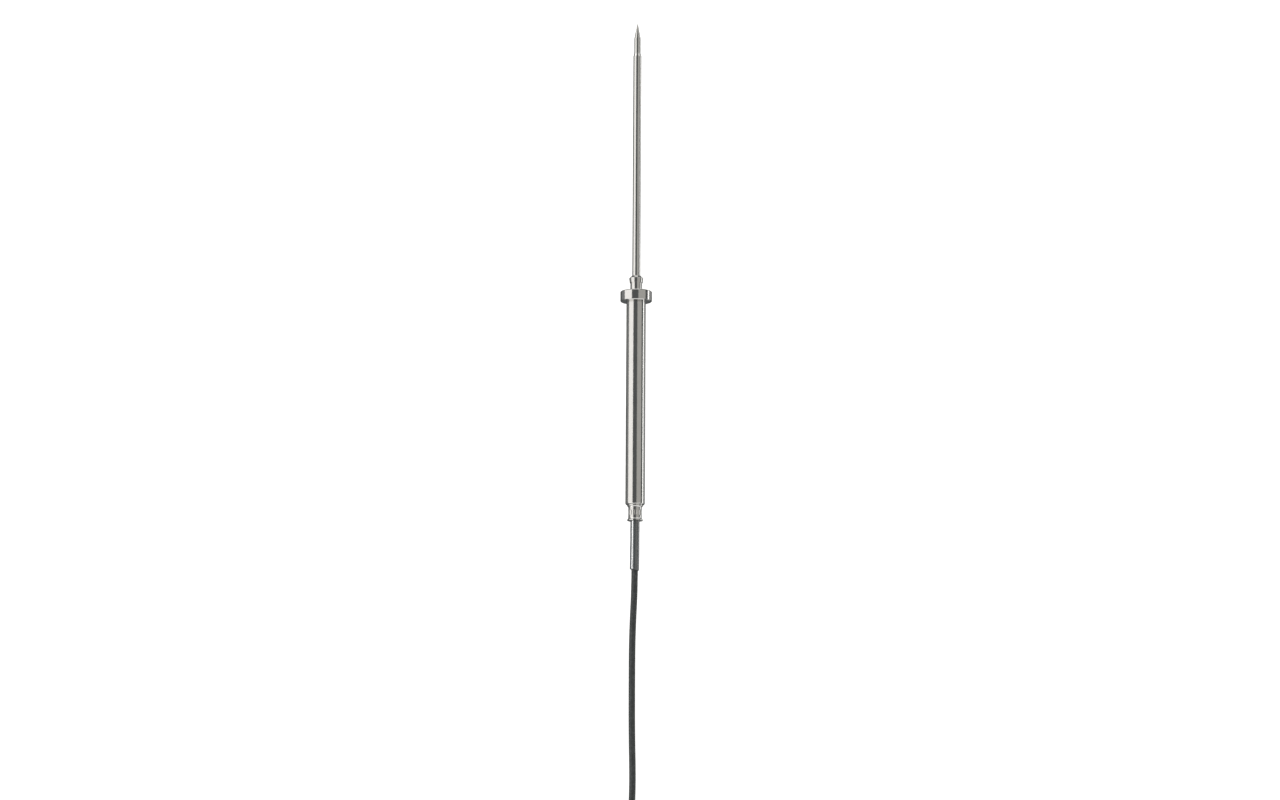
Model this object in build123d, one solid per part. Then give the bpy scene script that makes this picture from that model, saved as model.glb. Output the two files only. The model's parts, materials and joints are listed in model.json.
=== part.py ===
from build123d import *
import os
from math import asin, atan2, cos, degrees, hypot, radians, sin, tan

os.makedirs("parts", exist_ok=True)

# A hand-held penetration thermocouple: a pointed stainless stem, a turned head with a
# finger flange, a tubular handle, and a cable in a crimped ferrule with a miniature plug.
# Millimetres. A piece of the probe is drawn along +Y, with the handle's rear end at y = 0
# and the point towards +Y, and is then laid on the table with the rest of the probe.

# Stem
stem_diameter = 4.0
stem_wall = 0.5
stem_reach = 127.0  # from the front of the collar to the very point
stem_in_handle = 20.0
stem_shoulder = 0.2  # the step in the stem's outside that the collar is pressed against
slim_diameter = 3.2
slim_wall = 0.4
slim_length = 7.6
swage_length = 1.4  # the cone between the two diameters
point_length = 7.4
point_nose_radius = 0.2
point_spigot_length = 3.0

# Head
collar_diameter = 6.9
collar_back_diameter = 6.4
collar_front_lip = 0.25  # of the collar's front edge over the stem, all round
collar_length = 3.5
collar_bevel_length = 1.1
collar_edge_radius = 0.18
neck_diameter = 5.8
neck_length = 4.2
flange_diameter = 15.5
flange_thickness = 5.2
flange_chamfer = 0.35
head_bush_length = 11.0  # the length inside the handle

# Handle
handle_diameter = 9.5
handle_wall = 1.0
handle_length = 101.0
handle_rear_radius = 0.9
tail_bush_length = 10.0
front_ring_section = 1.2
front_ring_setback = 4.8  # from the handle's front end to the middle of the ring
rear_ring_section = 0.6
rear_ring_setback = 4.0  # from the handle's rear end
ring_room = 0.02  # all round a ring's section

# Ferrule and kink sleeve at the tail
ferrule_lap = 0.1  # of the ferrule's front over the handle's rear end, all round
ferrule_waist_diameter = 6.6
ferrule_back_diameter = 7.6
ferrule_length = 7.7
ferrule_rim = 0.5  # the straight rim at each end
ferrule_flare_length = 1.1
ferrule_shank_diameter = 5.6
ferrule_shank_length = 6.0
crimp_count = 8
crimp_depth = 0.28
crimp_cutter_radius = 1.5
crimp_turn = 4.0  # degrees from straight up to the first flute
sleeve_diameter = 4.5
sleeve_reach = 24.0  # out of the ferrule

# Sensing wires
wire_diameter = 0.4
wire_pitch = 1.1
bead_diameter = 1.7
insulator_diameter = 2.2
insulator_bore = 0.5
insulator_to_bead = 2.0
bead_to_point = 1.2
insulator_overhang = 3.0  # past the stem's rear end

# Splices between the sensing wires and the cable
splice_pitch = 3.2
splice_diameter = 1.4
splice_length = 6.0
splice_cover_diameter = 2.2
splice_cover_length = 12.0
wire_straight_length = 1.0  # of each sensing wire behind the insulator and before the cover
wire_spread_length = 7.0
wire_bend_radius = 2.0
core_straight_length = 3.0  # of each core at the jacket and at the cover
core_bend_radius = 3.0

# Cable
cable_diameter = 3.2
cable_in_handle = 26.0
core_diameter = 1.1
core_pitch = 1.2
potting_start = 14.0
potting_length = 8.0

# The free cable on the table: each point is the way across, the way along the table
# behind the kink sleeve, and the height of the cable's middle above the table.
# The first point is the mouth of the sleeve, and the second lies on the sleeve's own line.
sleeve_line_length = 14.0
bend_share = 0.45  # of the shorter run at a corner, taken by its arc
cable_points = [
    (-0.5, 31.0, 2.25),
    (-0.95, 54.0, 1.60),
    (-1.05, 80.0, 1.60),
    (-0.75, 103.0, 1.62),
]
hank_distance = 121.0  # from the mouth of the sleeve to the nearest point of the hank
hank_entry = (-1.60, 1.75)  # the way across, and the height, where the cable enters it
hank_socket = 2.0  # the cable's tube goes this far into the hank

# Hank: the spare cable, folded round two loops and tied at its waist
hank_columns = 2
hank_rows = 3
hank_run = 48.0  # between the middles of the two loops
fold_radius = 9.6  # of the inmost turn
strap_width = 10.0
strap_thickness = 1.0
strap_corner_radius = 3.0

# Miniature plug, lying on the hank
plug_width = 16.2
plug_length = 20.0
plug_height = 8.0
plug_wall = 1.2
plug_front_wall = 2.4
plug_rear_width = 10.4
plug_shoulder = 6.5  # from the rear face to where the plug reaches its full width
plug_shoulder_radius = 3.0
plug_edge_radius = 0.7
grip_groove_count = 4
grip_groove_pitch = 2.2
grip_groove_radius = 0.6
grip_groove_depth = 0.35
grip_groove_start = 8.6  # from the rear face to the middle of the first groove
plug_setback = 18.0  # from the strap's middle to the plug's rear face
blade_pitch = 7.9
blade_thickness = 0.8
blade_reach = 12.2
blade_root = 9.0  # inside the plug
blade_tip_chamfer = 0.5
positive_blade_width = 2.4
negative_blade_width = 3.2
terminal_setback = 6.4  # from the plug's front face
terminal_head_diameter = 3.4
terminal_head_height = 1.3
terminal_shank_diameter = 1.8
slot_width = 0.5  # of all three screws
slot_depth = 0.5
cover_screw_setback = 9.6  # from the plug's rear face
cover_screw_diameter = 1.6
cover_screw_head_diameter = 3.0
cover_screw_head_height = 1.1
cover_column_diameter = 3.0
insert_height = 2.0
insert_diameter = 2.6
grommet_diameter = 5.6
grommet_length = 3.4
cable_in_plug = 5.0


# Places along the probe, worked out from the sizes above
flange_front = handle_length + flange_thickness
neck_front = flange_front + neck_length
collar_front = neck_front + collar_length
apex = collar_front + stem_reach
point_base = apex - point_length
slim_back = point_base - slim_length
swage_back = slim_back - swage_length
stem_back = handle_length - stem_in_handle
stem_seat_diameter = stem_diameter - 2 * stem_shoulder
bead_at = point_base - point_spigot_length - bead_to_point
insulator_front = bead_at - insulator_to_bead
insulator_back = stem_back - insulator_overhang
cover_front = insulator_back - 2 * wire_straight_length - wire_spread_length
splice_middle = cover_front - splice_cover_length / 2
handle_bore = handle_diameter - 2 * handle_wall
front_ring_middle = handle_length - front_ring_setback
sleeve_mouth = -(ferrule_length + sleeve_reach)

# The probe rests on the rear rim of the flange and on the rounded rear edge of the handle
rim_along = handle_length + flange_chamfer - handle_rear_radius
rim_drop = (flange_diameter - handle_diameter) / 2 + handle_rear_radius
lean = atan2(rim_drop, rim_along) - asin(handle_rear_radius / hypot(rim_drop, rim_along))
edge_middle_radius = handle_diameter / 2 - handle_rear_radius
axis_height = handle_rear_radius * (1 - sin(lean)) + edge_middle_radius * cos(lean)
rearmost = sleeve_mouth * cos(lean) - sleeve_diameter / 2 * sin(lean)
foremost = apex * cos(lean)
lying = Location((0, -(rearmost + foremost) / 2, axis_height), (degrees(lean), 0, 0))


def turned(profile):
    """A solid of revolution about Y from corners given as (radius, place along Y)."""
    outline = Polyline(*profile, close=True)
    return revolve(make_face(outline), Axis.Y)


def rod(diameter, start, end, across=0.0):
    """A round bar along Y, its middle a distance across from the axis."""
    bar = Cylinder(diameter / 2, end - start, align=(Align.CENTER, Align.CENTER, Align.MIN))
    return Location((across, start, 0), (-90, 0, 0)) * bar


def tube(outer, inner, start, end, across=0.0):
    """A round tube along Y."""
    return rod(outer, start, end, across) - rod(inner, start, end, across)


def strand(points, diameter, radii):
    """A round strand along straight runs joined by tangent arcs."""
    path = FilletPolyline(*points, radius=radii)
    start = Plane(origin=path @ 0, z_dir=path % 0)
    return sweep(start * Circle(diameter / 2), path=path)


def stem_tube():
    """The swaged stainless tube, slim at its front end and shouldered for the head."""
    outer = stem_diameter / 2
    seat = stem_seat_diameter / 2
    slim = slim_diameter / 2
    return turned(
        [
            (seat, stem_back),
            (seat, collar_front),
            (outer, collar_front),
            (outer, swage_back),
            (slim, slim_back),
            (slim, point_base),
            (slim - slim_wall, point_base),
            (slim - slim_wall, slim_back),
            (outer - stem_wall, swage_back),
            (outer - stem_wall, stem_back),
        ]
    )


def measuring_point():
    """The solid pointed plug welded into the slim end of the stem."""
    base = slim_diameter / 2
    spigot = base - slim_wall
    cone_angle = atan2(base - point_nose_radius, point_length - point_nose_radius)
    nose_middle = apex - point_nose_radius
    touch = (point_nose_radius * cos(cone_angle), nose_middle + point_nose_radius * sin(cone_angle))
    halfway = radians(45) + cone_angle / 2
    middle = (point_nose_radius * cos(halfway), nose_middle + point_nose_radius * sin(halfway))
    back = point_base - point_spigot_length
    outline = Polyline(
        (0, apex),
        (0, back),
        (spigot, back),
        (spigot, point_base),
        (base, point_base),
        touch,
    )
    nose = ThreePointArc(touch, middle, (0, apex))
    return revolve(make_face(Curve() + [outline, nose]), Axis.Y)


def collar():
    """The bevelled ring pressed on the stem's seat in front of the neck."""
    bore = stem_seat_diameter / 2
    bevel_back = collar_front - collar_bevel_length
    ring = turned(
        [
            (bore, neck_front),
            (collar_back_diameter / 2, neck_front),
            (collar_diameter / 2, bevel_back),
            (stem_diameter / 2 + collar_front_lip, collar_front),
            (bore, collar_front),
        ]
    )
    shoulders = ring.edges().filter_by(GeomType.CIRCLE).sort_by(SortBy.RADIUS)[2:]
    return fillet(shoulders, collar_edge_radius)


def groove_corners(section, middle):
    """The corners of a ring's groove in the seat of a bush, from its rear side to its front."""
    seat = handle_bore / 2
    floor = seat - section - 2 * ring_room
    half_width = section / 2 + ring_room
    return [
        (seat, middle - half_width),
        (floor, middle - half_width),
        (floor, middle + half_width),
        (seat, middle + half_width),
    ]


def head_bush():
    """The neck and its wider seat in the handle, bored for the stem, grooved for the seal."""
    seat = handle_bore / 2
    seat_back = handle_length - head_bush_length
    return turned(
        [
            (stem_seat_diameter / 2, seat_back),
            (seat, seat_back),
            *groove_corners(front_ring_section, front_ring_middle),
            (seat, handle_length),
            (neck_diameter / 2, handle_length),
            (neck_diameter / 2, neck_front),
            (stem_seat_diameter / 2, neck_front),
        ]
    )


def finger_flange():
    """The disc that stops the hand and sets the depth."""
    disc = tube(flange_diameter, neck_diameter, handle_length, flange_front)
    rims = disc.edges().filter_by(GeomType.CIRCLE).sort_by(SortBy.RADIUS)[-2:]
    return chamfer(rims, flange_chamfer)


def handle_tube():
    """The plain tubular handle with a rounded rear edge."""
    shell = tube(handle_diameter, handle_bore, 0, handle_length)
    rear = shell.edges().filter_by(GeomType.CIRCLE).group_by(Axis.Y)[0].sort_by(SortBy.RADIUS)[-1]
    return fillet(rear, handle_rear_radius)


def tail_bush():
    """The plug of the handle's rear end, bored for the ferrule's shank."""
    seat = handle_bore / 2
    return turned(
        [
            (ferrule_shank_diameter / 2, 0),
            (seat, 0),
            *groove_corners(rear_ring_section, rear_ring_setback),
            (seat, tail_bush_length),
            (ferrule_shank_diameter / 2, tail_bush_length),
        ]
    )


def seal_ring(section, middle):
    """A rubber ring that sits in a bush's groove and meets the handle's bore."""
    ring = Torus(handle_bore / 2 - section / 2 - ring_room, section / 2)
    return Location((0, middle, 0), (90, 0, 0)) * ring


def crimp_ferrule():
    """The crimped sleeve: round at both ends, fluted at its waist, with a shank inside the bush."""
    front = handle_bore / 2 + ferrule_lap
    waist = ferrule_waist_diameter / 2
    back = ferrule_back_diameter / 2
    bore = sleeve_diameter / 2
    shank = ferrule_shank_diameter / 2
    waist_front = -ferrule_rim - ferrule_flare_length
    waist_back = -ferrule_length + ferrule_rim + ferrule_flare_length
    outline = Line((waist, waist_back), (waist, waist_front))
    front_flare = Spline(
        (waist, waist_front),
        (front, -ferrule_rim),
        tangents=((0, 1), (1, 1)),
    )
    inside = Polyline(
        (front, -ferrule_rim),
        (front, 0),
        (shank, 0),
        (shank, ferrule_shank_length),
        (bore, ferrule_shank_length),
        (bore, -ferrule_length),
        (back, -ferrule_length),
        (back, -ferrule_length + ferrule_rim),
    )
    back_flare = Spline(
        (back, -ferrule_length + ferrule_rim),
        (waist, waist_back),
        tangents=((-1, 1), (0, 1)),
    )
    body = revolve(make_face(Curve() + [outline, front_flare, inside, back_flare]), Axis.Y)
    return body - crimp_flutes(waist)


def crimp_flutes(waist):
    """Spindle-shaped hollows that the crimping jaws press round the waist."""
    half = (ferrule_length - 2 * ferrule_rim) / 2
    outline = Curve() + [
        ThreePointArc((0, -half), (crimp_cutter_radius, 0), (0, half)),
        Line((0, half), (0, -half)),
    ]
    spindle = revolve(make_face(outline), Axis.Y)
    distance = waist - crimp_depth + crimp_cutter_radius
    flutes = []
    for i in range(crimp_count):
        turn = Location((0, 0, 0), (0, crimp_turn + i * 360 / crimp_count, 0))
        flutes.append(turn * Location((0, -ferrule_length / 2, distance)) * spindle)
    return flutes


def kink_sleeve():
    """The soft tube round the cable, held in the ferrule."""
    return tube(sleeve_diameter, cable_diameter, sleeve_mouth, ferrule_shank_length)


def junction_ball():
    """The outside of the welded hot junction."""
    return Location((0, bead_at, 0)) * Sphere(bead_diameter / 2)


def sensing_wire(side):
    """One thermocouple wire from the bead to its splice, spreading behind the insulator."""
    near = side * wire_pitch / 2
    far = side * splice_pitch / 2
    spread_front = insulator_back - wire_straight_length
    points = [
        (near, bead_at, 0),
        (near, spread_front, 0),
        (far, spread_front - wire_spread_length, 0),
        (far, splice_middle, 0),
    ]
    return strand(points, wire_diameter, wire_bend_radius)


def twin_bore_insulator():
    """The ceramic rod that keeps the two wires apart."""
    body = rod(insulator_diameter, insulator_back, insulator_front)
    for side in (-1, 1):
        body -= rod(insulator_bore, insulator_back, insulator_front, side * wire_pitch / 2)
    return body


def tip_cement(wires):
    """The heat-conducting cement round the bead, between the point and the insulator."""
    bore = slim_diameter - 2 * slim_wall
    plug = rod(bore, insulator_front, point_base - point_spigot_length)
    return plug - (junction_ball() + wires)


def stem_seal():
    """The resin that holds the rear end of the stem and of the insulator in the handle."""
    front = handle_length - head_bush_length
    return turned(
        [
            (insulator_diameter / 2, insulator_back),
            (handle_bore / 2, insulator_back),
            (handle_bore / 2, front),
            (stem_seat_diameter / 2, front),
            (stem_seat_diameter / 2, stem_back),
            (insulator_diameter / 2, stem_back),
        ]
    )


def splice(side):
    """The crimped barrel that joins a sensing wire to a cable conductor."""
    start = splice_middle - splice_length / 2
    end = splice_middle + splice_length / 2
    return tube(splice_diameter, wire_diameter, start, end, side * splice_pitch / 2)


def splice_cover(side):
    """The shrunk insulating tube over a splice."""
    start = splice_middle - splice_cover_length / 2
    end = splice_middle + splice_cover_length / 2
    return tube(splice_cover_diameter, splice_diameter, start, end, side * splice_pitch / 2)


def cable_core(side):
    """One insulated conductor from the jacket's end to its splice, bared inside the barrel."""
    near = side * core_pitch / 2
    far = side * splice_pitch / 2
    cover_back = splice_middle - splice_cover_length / 2
    points = [
        (near, cable_in_handle, 0),
        (near, cable_in_handle + core_straight_length, 0),
        (far, cover_back - core_straight_length, 0),
        (far, cover_back, 0),
    ]
    insulated = strand(points, core_diameter, core_bend_radius)
    return insulated + rod(wire_diameter, cover_back, splice_middle, far)


def cable_end():
    """The cable inside the kink sleeve, the ferrule and the rear of the handle."""
    return rod(cable_diameter, sleeve_mouth, cable_in_handle)


def rear_potting():
    """The resin ring that seals the cable in the handle."""
    return tube(handle_bore, cable_diameter, potting_start, potting_start + potting_length)


def mouth_point(distance):
    """A place on the kink sleeve's own line, a distance behind its mouth, on the table."""
    return lying * Location((0, sleeve_mouth - distance, 0))


mouth = mouth_point(0).position
hank_front = mouth.Y - hank_distance
fold_outside = fold_radius + (hank_columns - 1) * cable_diameter + cable_diameter / 2
near_loop = hank_front - fold_outside
waist_at = near_loop - hank_run / 2
far_loop = near_loop - hank_run
waist_half_width = hank_columns * cable_diameter
far_loop_height = hank_rows * cable_diameter
near_loop_height = far_loop_height + cable_diameter
waist_top = strap_thickness + near_loop_height


def cable_route():
    """The free cable's points on the table, from the sleeve's mouth to the hank."""
    points = [mouth, mouth_point(sleeve_line_length).position]
    for across, behind, height in cable_points:
        points.append(Vector(across, mouth.Y - behind, height))
    points.append(Vector(hank_entry[0], hank_front - hank_socket, hank_entry[1]))
    return points


def bend_radii(points):
    """For each corner, an arc that takes nearly half of its shorter run."""
    radii = []
    for before, corner, after in zip(points, points[1:], points[2:]):
        turn = (corner - before).get_angle(after - corner)
        shorter = min((corner - before).length, (after - corner).length)
        radii.append(bend_share * shorter / tan(radians(turn / 2)))
    return radii


def cable_run():
    """The plain tube of the free cable."""
    points = cable_route()
    radii = bend_radii(points)
    print("free cable: bend radii", [round(r, 1) for r in radii])
    run = strand(points, cable_diameter, radii)
    section = Circle(cable_diameter / 2).area
    print("free cable: length", round(run.volume / section, 2))
    return run


def loop_outline(middle):
    """The plan of one end loop of the hank, drawn in to the waist."""
    with BuildSketch() as plan:
        with Locations((0, middle)):
            Circle(fold_outside)
        with Locations((0, waist_at)):
            Rectangle(2 * waist_half_width, strap_width)
        make_hull()
    return plan.sketch


def strap_section(margin):
    """The rounded outline of the strap round the hank's waist, a margin outside the cable."""
    outline = RectangleRounded(
        2 * (waist_half_width + margin),
        near_loop_height + 2 * margin,
        strap_corner_radius + margin,
        align=(Align.CENTER, Align.MIN),
    )
    corner = (0, waist_at + strap_width / 2, strap_thickness - margin)
    upright_plane = Plane(origin=corner, x_dir=(1, 0, 0), z_dir=(0, -1, 0))
    return extrude(upright_plane * outline, strap_width)


def cable_hank(run):
    """The outer shape of the tied hank: two loops and the bundle between them, met by the run."""
    loops = extrude(loop_outline(near_loop), near_loop_height)
    loops += extrude(loop_outline(far_loop), far_loop_height)
    room = Location((0, waist_at, 0)) * Box(
        4 * fold_outside,
        strap_width,
        waist_top,
        align=(Align.CENTER, Align.CENTER, Align.MIN),
    )
    return loops - room + strap_section(0) - run


def hank_strap():
    """The hook-and-loop strap round the waist of the hank."""
    return strap_section(strap_thickness) - strap_section(0)


# The plug lies on the far loop with its blades pointing away from the probe. It is drawn
# with its rear face at y = 0, its blades towards +Y and its underside at z = 0.
plug_middle = plug_height / 2
terminal_at = plug_length - terminal_setback
on_hank = Location((0, waist_at - plug_setback, far_loop_height), (0, 0, 180))


def plug_outline(wall, front_wall):
    """The plan of the plug, narrower at the cable's end, drawn in by the walls."""
    rear = plug_rear_width / 2 - wall
    full = plug_width / 2 - wall
    front = plug_length - front_wall
    outline = Polyline(
        (-rear, wall),
        (rear, wall),
        (full, plug_shoulder),
        (full, front),
        (-full, front),
        (-full, plug_shoulder),
        close=True,
    )
    plan = make_face(outline)
    behind_front = plan.vertices().sort_by(Axis.Y)[:4]
    return fillet(behind_front, plug_shoulder_radius - wall)


def plug_block():
    """The outside of both halves of the plug together, with its grip grooves."""
    block = extrude(plug_outline(0, 0), plug_height)
    flat_edges = block.edges().filter_by(Axis.Z, reverse=True)
    block = fillet(flat_edges, plug_edge_radius)
    distance = plug_width / 2 + grip_groove_radius - grip_groove_depth
    for i in range(grip_groove_count):
        along = grip_groove_start + i * grip_groove_pitch
        for side in (-1, 1):
            block -= upright(2 * grip_groove_radius, (side * distance, along), 0, plug_height)
    return block


def plug_cavity():
    """The space inside the plug, with the cable's way in."""
    floor = Location((0, 0, plug_wall))
    space = floor * extrude(plug_outline(plug_wall, plug_front_wall), plug_height - 2 * plug_wall)
    return space + plug_level() * rod(grommet_diameter, 0, grommet_length)


def plug_level():
    """The height of the cable's middle in the plug."""
    return Location((0, 0, plug_middle))


def blade_plate(side, width):
    """The plate of one blade before it is drilled."""
    start = plug_length - blade_root
    place = Location((side * blade_pitch / 2, start, plug_middle))
    plate = Box(
        width,
        blade_root + blade_reach,
        blade_thickness,
        align=(Align.CENTER, Align.MIN, Align.CENTER),
    )
    tip = plate.edges().filter_by(Axis.Z).group_by(Axis.Y)[-1]
    return place * chamfer(tip, blade_tip_chamfer)


def blades():
    """The undrilled positive and negative blades."""
    return [blade_plate(-1, positive_blade_width), blade_plate(1, negative_blade_width)]


def upright(diameter, place, bottom, top):
    """A round upright bar in the plug."""
    bar = Cylinder(diameter / 2, top - bottom, align=(Align.CENTER, Align.CENTER, Align.MIN))
    return Location((place[0], place[1], bottom)) * bar


def terminal_places():
    """Where the two terminal screws stand."""
    return [(side * blade_pitch / 2, terminal_at) for side in (-1, 1)]


def plug_half(bottom, top):
    """One half of the plug's shell, between two heights, with its half of the screw column."""
    slab = Location((0, 0, bottom)) * Box(
        2 * plug_width,
        4 * plug_length,
        top - bottom,
        align=(Align.CENTER, Align.CENTER, Align.MIN),
    )
    centre = (0, cover_screw_setback)
    column = upright(cover_column_diameter, centre, plug_wall / 2, plug_height - plug_wall / 2)
    return ((plug_block() - plug_cavity() + column) & slab) - blades()


def plug_base():
    """The lower half, with the posts under the blades and the insert's pocket."""
    half = plug_half(0, plug_middle)
    for place in terminal_places():
        half += upright(terminal_head_diameter, place, plug_wall / 2, plug_middle - blade_thickness / 2)
        half -= upright(terminal_shank_diameter, place, plug_wall, plug_middle)
    centre = (0, cover_screw_setback)
    half -= upright(insert_diameter, centre, 0, insert_height)
    return half - upright(cover_screw_diameter, centre, insert_height, plug_middle)


def plug_cover():
    """The upper half, sunk for the head of its screw."""
    half = plug_half(plug_middle, plug_height)
    centre = (0, cover_screw_setback)
    recess_floor = plug_height - cover_screw_head_height
    half -= upright(cover_screw_head_diameter, centre, recess_floor, plug_height)
    return half - upright(cover_screw_diameter, centre, plug_middle, plug_height)


def plug_blade(side, width):
    """One flat blade, drilled for its terminal screw."""
    place = (side * blade_pitch / 2, terminal_at)
    return blade_plate(side, width) - upright(terminal_shank_diameter, place, 0, plug_height)


def screw_slot(place, top, length):
    """The cutter for the slot across a screw's head."""
    return Location((place[0], place[1], top)) * Box(length, slot_width, 2 * slot_depth)


def terminal_screws():
    """The two screws that clamp the conductors on the blades."""
    blade_top = plug_middle + blade_thickness / 2
    screws = []
    for place in terminal_places():
        top = blade_top + terminal_head_height
        head = upright(terminal_head_diameter, place, blade_top, top)
        shank = upright(terminal_shank_diameter, place, plug_wall, blade_top)
        screws.append(head + shank - screw_slot(place, top, 2 * terminal_head_diameter))
    return Compound(children=screws)


def cover_screw():
    """The screw that holds the two halves together, slotted."""
    centre = (0, cover_screw_setback)
    head_bottom = plug_height - cover_screw_head_height
    screw = upright(cover_screw_head_diameter, centre, head_bottom, plug_height)
    screw += upright(cover_screw_diameter, centre, 0, head_bottom)
    return screw - screw_slot(centre, plug_height, 2 * cover_screw_head_diameter)


def screw_insert():
    """The brass insert in the base that the cover screw is driven into."""
    centre = (0, cover_screw_setback)
    ring = upright(insert_diameter, centre, 0, insert_height)
    return ring - upright(cover_screw_diameter, centre, 0, insert_height)


def plug_grommet():
    """The rubber ring round the cable in the plug's rear wall."""
    return plug_level() * tube(grommet_diameter, cable_diameter, 0, grommet_length)


def plug_cable_end():
    """The end of the cable's jacket inside the plug."""
    return plug_level() * rod(cable_diameter, 0, cable_in_plug)


def plug_core(side):
    """One insulated conductor from the jacket to its terminal screw."""
    start = Vector(side * core_pitch / 2, cable_in_plug, plug_middle)
    screw_back = terminal_at - terminal_head_diameter / 2 - core_diameter / 2
    level = plug_middle + blade_thickness / 2 + core_diameter / 2
    end = Vector(side * blade_pitch / 2, screw_back, level)
    path = Line(start, end)
    core = sweep(Plane(origin=path @ 0, z_dir=path % 0) * Circle(core_diameter / 2), path=path)
    return core - plug_cable_end() - blades()


def cable_plug_lead():
    """The cable from under the strap to the plug."""
    start = Vector(0, waist_at - strap_width / 2, waist_top - cable_diameter / 2)
    end = Vector(0, waist_at - plug_setback, far_loop_height + plug_middle)
    section = Plane(origin=start, z_dir=(0, -1, 0)) * Circle(cable_diameter / 2)
    return sweep(section, path=Line(start, end))


sensing_wires = [sensing_wire(-1), sensing_wire(1)]

probe_pieces = {
    "measuring_point": measuring_point(),
    "stem_tube": stem_tube(),
    "front_collar": collar(),
    "head_bush": head_bush(),
    "finger_flange": finger_flange(),
    "handle_tube": handle_tube(),
    "front_seal_ring": seal_ring(front_ring_section, front_ring_middle),
    "rear_seal_ring": seal_ring(rear_ring_section, rear_ring_setback),
    "tail_bush": tail_bush(),
    "crimp_ferrule": crimp_ferrule(),
    "kink_sleeve": kink_sleeve(),
    "hot_junction": junction_ball() - sensing_wires,
    "positive_wire": sensing_wires[0],
    "negative_wire": sensing_wires[1],
    "twin_bore_insulator": twin_bore_insulator(),
    "tip_cement": tip_cement(sensing_wires),
    "stem_seal": stem_seal(),
    "positive_splice": splice(-1),
    "negative_splice": splice(1),
    "positive_splice_cover": splice_cover(-1),
    "negative_splice_cover": splice_cover(1),
    "positive_core": cable_core(-1),
    "negative_core": cable_core(1),
    "cable_end": cable_end(),
    "rear_potting": rear_potting(),
}

plug_pieces = {
    "plug_base": plug_base(),
    "plug_cover": plug_cover(),
    "positive_blade": plug_blade(-1, positive_blade_width),
    "negative_blade": plug_blade(1, negative_blade_width),
    "terminal_screws": terminal_screws(),
    "cover_screw": cover_screw(),
    "screw_insert": screw_insert(),
    "plug_grommet": plug_grommet(),
    "plug_cable_end": plug_cable_end(),
    "plug_positive_core": plug_core(-1),
    "plug_negative_core": plug_core(1),
}

free_run = cable_run()

table_pieces = {
    "cable_run": free_run,
    "cable_hank": cable_hank(free_run),
    "hank_strap": hank_strap(),
    "cable_plug_lead": cable_plug_lead(),
}

for name, piece in probe_pieces.items():
    export_step(lying * piece, f"parts/{name}.step")
for name, piece in plug_pieces.items():
    export_step(on_hank * piece, f"parts/{name}.step")
for name, piece in table_pieces.items():
    export_step(piece, f"parts/{name}.step")

print("lean", round(degrees(lean), 3), "degrees")
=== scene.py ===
"""A hand-held penetration thermocouple probe on a pale table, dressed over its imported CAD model."""

import json
import math
import random

import bmesh
import bpy
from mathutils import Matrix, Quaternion, Vector


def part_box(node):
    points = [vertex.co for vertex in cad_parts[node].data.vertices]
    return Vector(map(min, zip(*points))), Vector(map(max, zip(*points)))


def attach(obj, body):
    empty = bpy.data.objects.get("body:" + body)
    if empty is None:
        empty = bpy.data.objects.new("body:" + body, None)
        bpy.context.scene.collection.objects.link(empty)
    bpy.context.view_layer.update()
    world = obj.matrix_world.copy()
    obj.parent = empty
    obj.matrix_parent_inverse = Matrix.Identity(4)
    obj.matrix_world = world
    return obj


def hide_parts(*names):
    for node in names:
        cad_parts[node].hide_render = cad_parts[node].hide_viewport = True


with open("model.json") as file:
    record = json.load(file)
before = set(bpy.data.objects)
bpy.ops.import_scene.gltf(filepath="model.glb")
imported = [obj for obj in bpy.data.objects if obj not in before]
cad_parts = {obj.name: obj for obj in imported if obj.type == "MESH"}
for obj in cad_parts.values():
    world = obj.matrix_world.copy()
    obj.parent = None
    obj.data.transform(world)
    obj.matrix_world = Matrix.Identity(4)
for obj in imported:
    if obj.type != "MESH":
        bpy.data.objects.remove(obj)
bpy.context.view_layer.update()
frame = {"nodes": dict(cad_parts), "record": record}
nodes = frame["nodes"]
MM = 0.001


# Camera: above the probe and a little behind it, far off, so that it hardly tapers

def add_camera():
    elevation = math.radians(78.3)
    roll = math.radians(0.3)
    looked_at = Vector((2.15, -52.4, 6.3)) * MM
    view_width = 626.5 * MM
    data = bpy.data.cameras.new("camera")
    data.lens = 180
    data.sensor_width = 36
    distance = view_width * data.lens / data.sensor_width
    back = Vector((0, -math.cos(elevation), math.sin(elevation)))
    camera = bpy.data.objects.new("camera", data)
    bpy.context.scene.collection.objects.link(camera)
    camera.rotation_mode = "QUATERNION"
    camera.rotation_quaternion = back.to_track_quat("Z", "Y") @ Quaternion((0, 0, 1), roll)
    camera.location = looked_at + back * distance
    data.clip_start = 0.05
    data.clip_end = 60
    bpy.context.scene.camera = camera


add_camera()


# Cable: sizes and places, in metres

cable_radius = 1.6 * MM
cable_pitch = 3.2 * MM
sleeve_mouth = Vector((0, -136.206, 3.775)) * MM
probe_axis = Vector((0, 0.99955444, 0.029848306))
near_loop_y = -271.61 * MM
waist_y = -295.61 * MM
far_loop_y = -319.61 * MM
waist_half = 7.5 * MM  # from the middle of the waist to where the strands start to spread
fold_radius = 9.6 * MM
plug_rear = Vector((0, -313.61, 13.6)) * MM
shaky = random.Random(4)


def lies(across, behind, height):
    """A place on the table: across, behind the sleeve's mouth, and the height, all in millimetres."""
    return Vector((across * MM, sleeve_mouth.y - behind * MM, height * MM))


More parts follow.
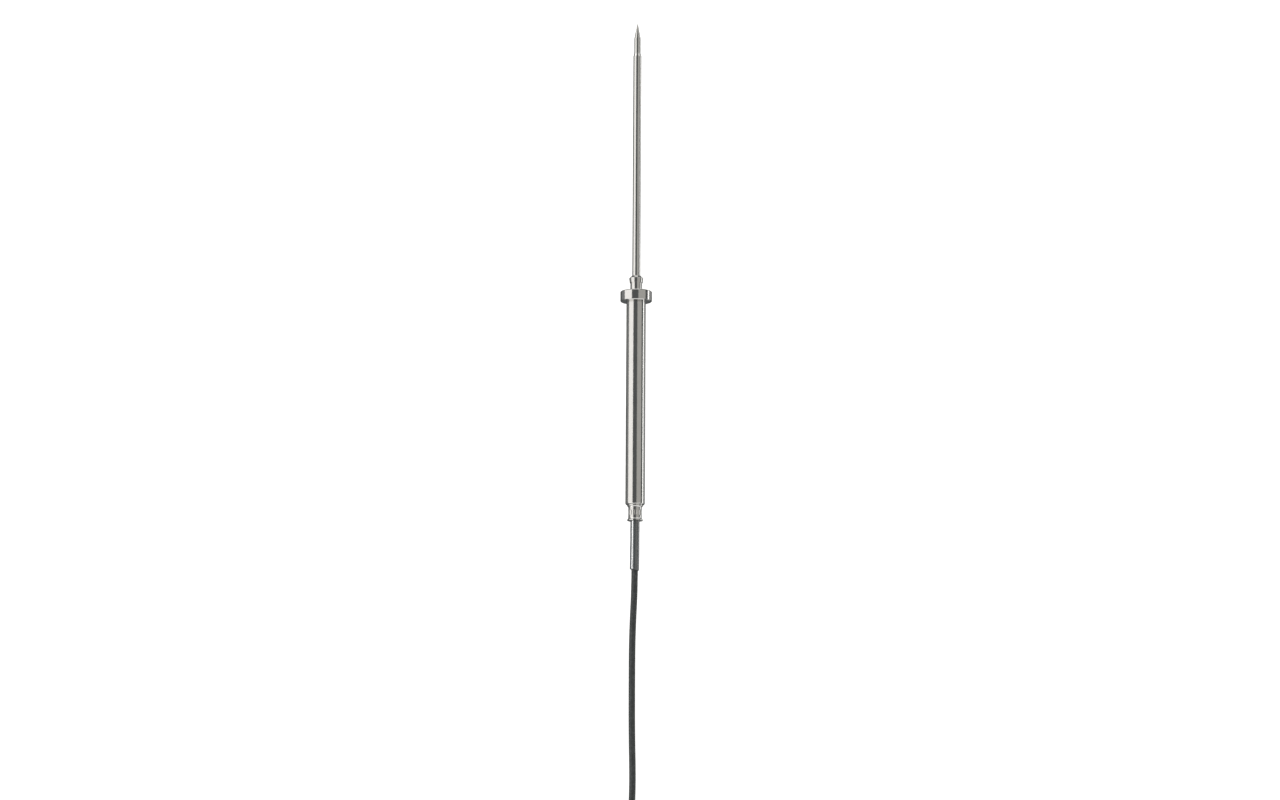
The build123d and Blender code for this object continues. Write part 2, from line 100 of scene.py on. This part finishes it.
def free_cable():
    """The stretch that lies free, from inside the sleeve to under the near loop of the hank."""
    return [
        sleeve_mouth + probe_axis * 6 * MM,
        sleeve_mouth - probe_axis * 9 * MM,
        lies(-0.70, 24, 2.75),
        lies(-1.05, 36, 2.00),
        lies(-1.10, 54, 1.60),
        lies(-1.00, 80, 1.60),
        lies(-0.42, 103, 1.60),
        lies(-0.95, 121, 1.60),
    ]


def step(t, start, end):
    """Rises from 0 to 1 while t goes from start to end."""
    u = min(max((t - start) / (end - start), 0), 1)
    return u * u * (3 - 2 * u)


def lean_out(waist_column, loop_column):
    """The angle at which a strand spreads from its column in the waist to touch its loop."""
    across = (waist_column + 0.5) * cable_pitch
    along = near_loop_y - waist_y - waist_half
    reach = fold_radius + loop_column * cable_pitch
    return math.asin(reach / math.hypot(across, along)) - math.atan2(across, along)


def loop_points(middle_y, side, waist_columns, column_at, height_at):
    """Control points round one end loop, from the side where the strand comes in to the other."""
    first = math.pi / 2 - lean_out(waist_columns[0], column_at(0))
    last = math.pi * 3 / 2 + lean_out(waist_columns[1], column_at(1))
    corners = 7  # round the loop itself, with one more on the straight way in and out
    corner = (last - first) / corners
    points = []
    for i in range(corners + 2):
        t = i / (corners + 1)
        turn = first + corner * (i - 0.5)
        reach = fold_radius + column_at(t) * cable_pitch - shaky.uniform(0, 0.12) * MM
        reach = reach / math.cos(corner / 2)
        across = side * reach * math.sin(turn)
        along = middle_y - side * reach * math.cos(turn)
        points.append(Vector((across, along, height_at(t))))
    return points


def waist_points(side, column, row, direction):
    """Control points of one strand through the strap."""
    across = side * (column + 0.5) * cable_pitch
    height = 2.6 * MM + row * cable_pitch
    return [Vector((across, waist_y + direction * k * waist_half, height)) for k in (1, -1)]


# Down strands lie on the left and up strands on the right. Each is (column, row).
down_strands = [(0, 0), (1, 0), (1, 1), (0, 1), (0, 2), (1, 2)]
up_strands = [(0, 0), (1, 0), (1, 1), (0, 1), (1, 2), (0.5, 3)]
# The column in which a strand leaves the far loop: the last one passes over the one before it
far_ends = [0, 1, 1, 0, 0, 0.5]
# Where in the near loop a strand changes its column, and where it climbs to the next row
near_shifts = [(0.3, 1.0), (0, 1), (0, 0.55), (0, 1), (0, 1), (0, 1)]
near_climbs = [(0, 1), (0.22, 0.57), (0, 1), (-0.1, 0.3), (0, 1), (0, 1)]


def tied_turns():
    """The spare cable, wound round the two loops, and its last strand to the plug."""
    points = []
    for turn in range(6):
        down, up = down_strands[turn], up_strands[turn]
        after = down_strands[turn + 1] if turn < 5 else (0, 3)

        def far_column(t):
            return down[0] + (far_ends[turn] - down[0]) * step(t, 0.55, 1)

        def far_height(t):
            return cable_radius + (down[1] + (up[1] - down[1]) * step(t, 0.62, 1.05)) * cable_pitch

        def near_column(t):
            return up[0] + (after[0] - up[0]) * step(t, *near_shifts[turn])

        def near_height(t):
            over_cable = step(t, 0, 0.4) - step(t, 0.6, 1)
            row = up[1] + (after[1] - up[1]) * step(t, *near_climbs[turn])
            return (2.0 + 2.9 * over_cable) * MM + row * cable_pitch

        points += waist_points(-1, *down, 1)
        points += loop_points(far_loop_y, -1, (down[0], up[0]), far_column, far_height)
        points += waist_points(1, *up, -1)
        points += loop_points(near_loop_y, 1, (up[0], after[0]), near_column, near_height)
    points.append(Vector((-1.6 * MM, waist_y + waist_half, 12.2 * MM)))
    points.append(Vector((-1.4 * MM, waist_y - 4 * MM, 12.3 * MM)))
    points.append(plug_rear + Vector((-0.2 * MM, 6 * MM, 0)))
    points.append(plug_rear - Vector((0, 2 * MM, 0)))
    return points


def add_cable():
    points = free_cable() + tied_turns()
    curve = bpy.data.curves.new("cable", "CURVE")
    curve.dimensions = "3D"
    curve.bevel_depth = cable_radius
    curve.bevel_resolution = 6
    curve.resolution_u = 10
    curve.use_fill_caps = True
    spline = curve.splines.new("NURBS")
    spline.points.add(len(points) - 1)
    for control, place in zip(spline.points, points):
        control.co = (*place, 1)
    spline.order_u = 3
    spline.use_endpoint_u = True
    cable = bpy.data.objects.new("cable", curve)
    bpy.context.scene.collection.objects.link(cable)
    return cable


cable = add_cable()


# Finishes

class Link:
    """The output of a node. Arithmetic on it adds Math nodes."""

    def __init__(self, finish, socket):
        self.finish = finish
        self.socket = socket

    def _math(self, operation, *values):
        return self.finish.node("ShaderNodeMath", {"operation": operation}, dict(enumerate(values)))

    def __add__(self, other):
        return self._math("ADD", self, other)

    def __radd__(self, other):
        return self._math("ADD", other, self)

    def __sub__(self, other):
        return self._math("SUBTRACT", self, other)

    def __rsub__(self, other):
        return self._math("SUBTRACT", other, self)

    def __mul__(self, other):
        return self._math("MULTIPLY", self, other)

    def __rmul__(self, other):
        return self._math("MULTIPLY", other, self)


class Finish:
    """A material under construction."""

    def __init__(self, name, **plain):
        self.material = bpy.data.materials.new(name)
        self.material.use_nodes = True
        self.tree = self.material.node_tree
        self.shader = self.tree.nodes["Principled BSDF"]
        self.place = self.node("ShaderNodeTexCoord", out="Object")
        for socket, value in plain.items():
            self.set(socket.replace("_", " "), value)

    def node(self, kind, settings=None, values=None, out=0):
        """Adds a node: its settings first, then the values or links of its sockets."""
        made = self.tree.nodes.new(kind)
        for name, value in (settings or {}).items():
            setattr(made, name, value)
        for name, value in (values or {}).items():
            self._feed(made.inputs[name], value)
        return Link(self, made.outputs[out])

    def _feed(self, socket, value):
        if isinstance(value, Link):
            self.tree.links.new(value.socket, socket)
        else:
            socket.default_value = value

    def set(self, socket, value):
        """Gives one of the shader's own sockets its value or link."""
        if isinstance(value, tuple) and len(value) == 3:
            value = (*value, 1)
        self._feed(self.shader.inputs[socket], value)

    def stretched(self, scale, turn=(0, 0, 0)):
        """The place on the piece, turned and then scaled, for a grain that runs one way."""
        values = {"Vector": self.place, "Rotation": turn, "Scale": scale}
        return self.node("ShaderNodeMapping", {"vector_type": "POINT"}, values)

    def noise(self, place, scale=1.0, detail=2.0, rough=0.5):
        values = {"Vector": place, "Scale": scale, "Detail": detail, "Roughness": rough}
        return self.node("ShaderNodeTexNoise", {"noise_dimensions": "3D"}, values)

    def cells(self, place, scale, feature="F1"):
        values = {"Vector": place, "Scale": scale}
        return self.node("ShaderNodeTexVoronoi", {"feature": feature}, values)

    def band(self, value, low, high):
        """0 where the value is under low, 1 where it is over high."""
        values = {"Value": value, "From Min": low, "From Max": high}
        return self.node("ShaderNodeMapRange", {"clamp": True}, values)

    def mix(self, share, first, second):
        """A colour between two others."""
        one, two = (c if isinstance(c, Link) else (*c, 1) for c in (first, second))
        values = {"Factor": share, 6: one, 7: two}
        return self.node("ShaderNodeMix", {"data_type": "RGBA"}, values, out=2)

    def bump(self, height, depth, strength=1.0):
        """Raises the surface by the height times the depth, in metres."""
        values = {"Height": height, "Distance": depth, "Strength": strength}
        self.set("Normal", self.node("ShaderNodeBump", None, values))


lean = math.asin(probe_axis.z)


def steel(name, along, across, roughness, tint=(0.62, 0.61, 0.59)):
    """Polished stainless steel, with fine marks along or round the probe's axis."""
    finish = Finish(name, Metallic=1.0)
    place = finish.stretched((across, along, across), (-lean, 0, 0))
    marks = finish.noise(place, detail=4, rough=0.65)
    handling = finish.noise(finish.place, scale=160, detail=3)
    scratches = finish.band(finish.noise(place, scale=3.1, detail=1), 0.66, 0.72)
    shade = 0.55 * marks + 0.45 * handling
    finish.set("Base Color", finish.mix(shade, [0.88 * c for c in tint], [1.10 * c for c in tint]))
    finish.set("Roughness", roughness * (0.72 + 0.4 * marks + 0.35 * handling) + 0.06 * scratches)
    finish.bump(marks - 0.5 * scratches, 0.0000025)
    return finish.material


drawn_steel = steel("drawn_steel", 90, 2600, 0.13)
turned_steel = steel("turned_steel", 7000, 60, 0.12)
ground_steel = steel("ground_steel", 9000, 90, 0.17)


def cable_jacket():
    """Matt black moulded jacket with a fine grain."""
    finish = Finish("cable_jacket", Specular_IOR_Level=0.5)
    grain = finish.cells(finish.place, 2600)
    mottle = finish.noise(finish.place, scale=900, detail=3)
    dusty = finish.band(mottle, 0.45, 0.8)
    finish.set("Base Color", finish.mix(dusty, (0.020, 0.023, 0.024), (0.052, 0.058, 0.058)))
    finish.set("Roughness", 0.46 + 0.2 * mottle)
    finish.bump(grain + 0.8 * mottle, 0.00012, 0.55)
    return finish.material


def sleeve_tube():
    """Smooth, glossy dark grey tube, shrunk on the cable."""
    finish = Finish("sleeve_tube", Specular_IOR_Level=0.9, Coat_Roughness=0.10, Coat_IOR=1.9)
    ripple = finish.noise(finish.stretched((500, 130, 500)), detail=2)
    fine = finish.noise(finish.place, scale=2500, detail=2)
    finish.set("Base Color", finish.mix(ripple, (0.022, 0.026, 0.028), (0.042, 0.047, 0.049)))
    finish.set("Roughness", 0.20 + 0.12 * fine)
    finish.set("Coat Weight", 0.7 + 0.3 * ripple)
    finish.bump(ripple + 0.1 * fine, 0.00006, 0.5)
    return finish.material


def woven_tape():
    """Black hook-and-loop tape: a napped weave of ribs across and along."""
    finish = Finish("woven_tape", Sheen_Weight=0.35, Sheen_Roughness=0.5, Roughness=0.85)
    settings = {"wave_type": "BANDS", "bands_direction": "Y"}
    values = {"Vector": finish.place, "Scale": 260.0, "Distortion": 1.2}
    ribs = finish.node("ShaderNodeTexWave", settings, values, out="Fac")
    nap = finish.cells(finish.stretched((1.0, 0.7, 1.0)), 1900, "SMOOTH_F1")
    fuzz = finish.noise(finish.place, scale=5000, detail=3)
    shade = nap * (0.6 + 0.4 * ribs)
    finish.set("Base Color", finish.mix(shade, (0.012, 0.012, 0.013), (0.060, 0.060, 0.063)))
    finish.bump(nap + 0.5 * ribs + 0.4 * fuzz, 0.00022, 0.8)
    return finish.material


def moulded_plastic(name, dark, light, roughness, grain_depth=0.000025, grain=2400):
    """Moulded plastic, resin, rubber or ceramic with a fine sparked grain."""
    finish = Finish(name)
    spark = finish.noise(finish.place, scale=grain, detail=3, rough=0.6)
    cloud = finish.noise(finish.place, scale=130, detail=2)
    finish.set("Base Color", finish.mix(0.6 * spark + 0.4 * cloud, dark, light))
    finish.set("Roughness", roughness + 0.18 * (spark - 0.5) + 0.08 * cloud)
    finish.bump(spark, grain_depth, 0.7)
    return finish.material


def worn_metal(name, dark, light, roughness):
    """Stamped or plated metal with fine scratches every way."""
    finish = Finish(name, Metallic=1.0)
    lines = finish.noise(finish.stretched((5200, 160, 5200)), detail=3)
    spots = finish.noise(finish.place, scale=500, detail=4)
    finish.set("Base Color", finish.mix(0.5 * lines + 0.5 * spots, dark, light))
    finish.set("Roughness", roughness * (0.7 + 0.5 * lines + 0.4 * spots))
    finish.bump(lines + 0.4 * spots, 0.000004, 0.8)
    return finish.material


finishes = {
    "black_jacket": cable_jacket(),
    "grey_sleeve": sleeve_tube(),
    "black_strap": woven_tape(),
}
# Slot, the finish's name, its darkest and lightest colour, its roughness, and its grain's depth
# in metres and scale where they aren't the usual ones
plastics = [
    ("black_rubber", "seal_rubber", (0.014, 0.014, 0.014), (0.036, 0.036, 0.036), 0.6),
    ("green_plug", "plug_plastic", (0.016, 0.15, 0.055), (0.030, 0.22, 0.085), 0.42, 0.00004, 3000),
    ("white_ceramic", "fired_ceramic", (0.72, 0.70, 0.64), (0.88, 0.86, 0.80), 0.7),
    ("amber_resin", "cast_resin", (0.34, 0.18, 0.06), (0.52, 0.31, 0.12), 0.25),
    ("green_insulation", "green_insulation", (0.02, 0.22, 0.07), (0.05, 0.34, 0.12), 0.35),
    ("white_insulation", "white_insulation", (0.74, 0.74, 0.71), (0.88, 0.88, 0.85), 0.35),
]
metals = [
    ("thermo_alloy", "blade_alloy", (0.50, 0.47, 0.42), (0.62, 0.59, 0.53), 0.27),
    ("plated_crimp", "tin_plate", (0.62, 0.62, 0.60), (0.80, 0.80, 0.77), 0.24),
    ("brass_insert", "turned_brass", (0.66, 0.48, 0.20), (0.84, 0.65, 0.32), 0.22),
]
for slot, *look in plastics:
    finishes[slot] = moulded_plastic(*look)
for slot, *look in metals:
    finishes[slot] = worn_metal(*look)
steel_finishes = {
    "stem_tube": drawn_steel,
    "handle_tube": drawn_steel,
    "measuring_point": ground_steel,
}

for part in frame["record"]["subparts"]:
    name, slot = part["node"], part["material_slot"]
    if slot == "polished_steel":
        finish = steel_finishes.get(name, turned_steel)
    else:
        finish = finishes[slot]
    mesh = nodes[name].data
    mesh.materials.clear()
    mesh.materials.append(finish)


# Pieces that stand for plain CAD solids

def dress(piece, slot, *stands_for):
    piece.data.materials.append(finishes[slot])
    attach(piece, "root")
    if stands_for:
        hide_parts(*stands_for)


def add_mesh(name, rings, cap=False):
    """A skin over rings of points, each ring closed, with smooth faces."""
    mesh = bpy.data.meshes.new(name)
    shape = bmesh.new()
    rows = [[shape.verts.new(p) for p in ring] for ring in rings]
    for one, two in zip(rows, rows[1:]):
        for i in range(len(one)):
            j = (i + 1) % len(one)
            shape.faces.new((one[i], one[j], two[j], two[i]))
    if cap:
        shape.faces.new(rows[0])
        shape.faces.new(rows[-1])
    bmesh.ops.recalc_face_normals(shape, faces=shape.faces)
    for face in shape.faces:
        face.smooth = True
    shape.to_mesh(mesh)
    shape.free()
    piece = bpy.data.objects.new(name, mesh)
    bpy.context.scene.collection.objects.link(piece)
    return piece


def add_sleeve():
    """The soft tube on the cable's first stretch: a little uneven, its end not cut quite square."""
    front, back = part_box("kink_sleeve")[1].y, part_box("kink_sleeve")[0].y
    length = front - back
    side, up = Vector((1, 0, 0)), probe_axis.cross(Vector((1, 0, 0))) * -1
    outer, inner = 2.25 * MM, 1.62 * MM
    profile = []
    for k in range(41):
        share = k / 40
        uneven = 0.006 * math.sin(9 * share) - 0.008 * math.sin(23 * share)
        profile.append((share * length, outer * (1 + uneven)))
    lip = [(length + 0.10 * MM, outer - 0.05 * MM), (length + 0.20 * MM, outer - 0.18 * MM)]
    lip += [(length + 0.16 * MM, inner + 0.16 * MM), (length + 0.02 * MM, inner + 0.02 * MM)]
    lip += [(length - 2 * MM, inner)]
    rings = []
    start = sleeve_mouth + probe_axis * length
    for along, radius in profile + lip:
        share = max(along / length, 0)
        ring = []
        for i in range(40):
            angle = math.tau * i / 40
            offset = side * math.cos(angle) + up * math.sin(angle)
            skew = 0.16 * math.cos(angle) * radius * step(share, 0.8, 1)
            sway = side * -0.15 * MM * share ** 3
            ring.append(start - probe_axis * (along + skew) + offset * radius + sway)
        rings.append(ring)
    return add_mesh("cable_sleeve", rings)


def strap_path(margin):
    """Places and outward directions round the waist of the hank, a margin outside the cable."""
    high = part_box("hank_strap")[1]
    half = high.x - 1.0 * MM + margin
    bottom, top = 1.0 * MM - margin, high.z - 1.0 * MM + margin
    radius = 3 * MM + margin
    path = []
    corners = ((half, bottom, -90), (half, top, 0), (-half, top, 90), (-half, bottom, 180))
    for x, z, start in corners:
        middle = Vector((x - math.copysign(radius, x), 0, z + radius if z == bottom else z - radius))
        for k in range(9):
            angle = math.radians(start + 90 * k / 8)
            outward = Vector((math.cos(angle), 0, math.sin(angle)))
            path.append((middle + outward * radius, outward))
    return path


def add_strap():
    """The tape round the waist, and its end, which lies over its start on top."""
    thickness, width = 0.9 * MM, 9.6 * MM
    section = (
        (-1, 0.15), (-0.97, 0.75), (-0.9, 1), (0, 1.04), (0.9, 1), (0.97, 0.75), (1, 0.15),
        (0.96, 0), (-0.96, 0),
    )
    around = strap_path(0.05 * MM)
    count = len(around)
    first, last = 14, 58  # from the top's right-hand edge, all round, and on past its left-hand edge
    rings = []
    for k in range(first, last):
        base, outward = around[k % count]
        lift = 0.96 * step(k, count + first - 5, count + first - 1)
        narrow = 1 - 0.10 * (1 - step(min(k - first, last - 1 - k), 0, 2))
        ring = []
        for across, height in section:
            place = base + outward * thickness * (height + lift)
            ring.append(Vector((place.x, waist_y + across * width / 2 * narrow, place.z)))
        rings.append(ring)
    return add_mesh("cable_strap", rings, cap=True)


strap = add_strap()
sleeve = add_sleeve()
dress(cable, "black_jacket", "cable_run", "cable_hank", "cable_plug_lead")
dress(strap, "black_strap", "hank_strap")
dress(sleeve, "grey_sleeve", "kink_sleeve")


# Table and lights

def add_table():
    """A pale table top that curves up into a wall all round, seen but not mirrored in the steel."""
    profile = [(0.6, 0.0), (7.0, 0.0)]
    for k in range(1, 7):
        angle = math.radians(15 * k)
        profile.append((7 + 2 * math.sin(angle), 2 - 2 * math.cos(angle)))
    profile.append((9.0, 9.0))
    sides = 96
    rings = []
    for radius, height in profile:
        ring = []
        for i in range(sides):
            angle = math.tau * i / sides
            ring.append(Vector((radius * math.cos(angle), radius * math.sin(angle), height)))
        rings.append(ring)
    table = add_mesh("table", rings)
    shape = bmesh.new()
    shape.from_mesh(table.data)
    shape.verts.ensure_lookup_table()
    shape.faces.new(shape.verts[:sides])
    bmesh.ops.recalc_face_normals(shape, faces=shape.faces)
    shape.to_mesh(table.data)
    shape.free()
    finish = Finish("table_top", Roughness=0.9, Emission_Strength=0.90)
    finish.set("Emission Color", (1.0, 0.996, 0.985))
    paper = finish.noise(finish.place, scale=700, detail=3)
    finish.set("Base Color", finish.mix(paper, (0.34, 0.34, 0.335), (0.38, 0.38, 0.375)))
    table.data.materials.append(finish.material)
    table.visible_glossy = False


def add_softbox(name, bearing, half_spread, radiance, colour=(1, 1, 1), lengthwise=False):
    """A long soft light beside the probe, or before or behind it where it is lengthwise.

    Its bearing is in degrees from straight up, to the right or towards the point.
    """
    away, length = 1.3, 3.0
    turn = math.radians(bearing)
    level = Vector((0, 1, 0)) if lengthwise else Vector((1, 0, 0))
    direction = level * math.sin(turn) + Vector((0, 0, math.cos(turn)))
    light = bpy.data.lights.new(name, "AREA")
    light.shape = "RECTANGLE"
    light.size = length
    light.size_y = 2 * away * math.tan(math.radians(half_spread))
    light.color = colour
    light.energy = radiance * math.pi * light.size * light.size_y
    softbox = bpy.data.objects.new(name, light)
    bpy.context.scene.collection.objects.link(softbox)
    softbox.rotation_mode = "QUATERNION"
    softbox.rotation_quaternion = direction.to_track_quat("Z", "Y")
    softbox.location = direction * away + Vector((0, 0.15, 0))
    softbox.visible_camera = False
    return softbox


add_table()
add_softbox("key_softbox", -61, 29.5, 1.24, (1.0, 0.985, 0.965))
add_softbox("fill_card", 44, 27.5, 0.41, (1.0, 0.97, 0.91))
add_softbox("rim_strip", 101, 6.5, 2.0)
add_softbox("low_card", 124, 17, 0.26)
add_softbox("dim_card", -109, 19, 0.16)
add_softbox("front_card", 78, 25, 1.15, lengthwise=True)
add_softbox("rear_card", -78, 20, 0.9, lengthwise=True)
glint = add_softbox("sleeve_glint", -66, 9, 8)
glint.light_linking.receiver_collection = bpy.data.collections.new("glossy_tube")
glint.light_linking.receiver_collection.objects.link(sleeve)

world = bpy.data.worlds.new("studio")
world.use_nodes = True
world.node_tree.nodes["Background"].inputs["Color"].default_value = (0.93, 0.99, 1.0, 1)
world.node_tree.nodes["Background"].inputs["Strength"].default_value = 0.125
bpy.context.scene.world = world
bpy.context.scene.view_settings.view_transform = "Standard"
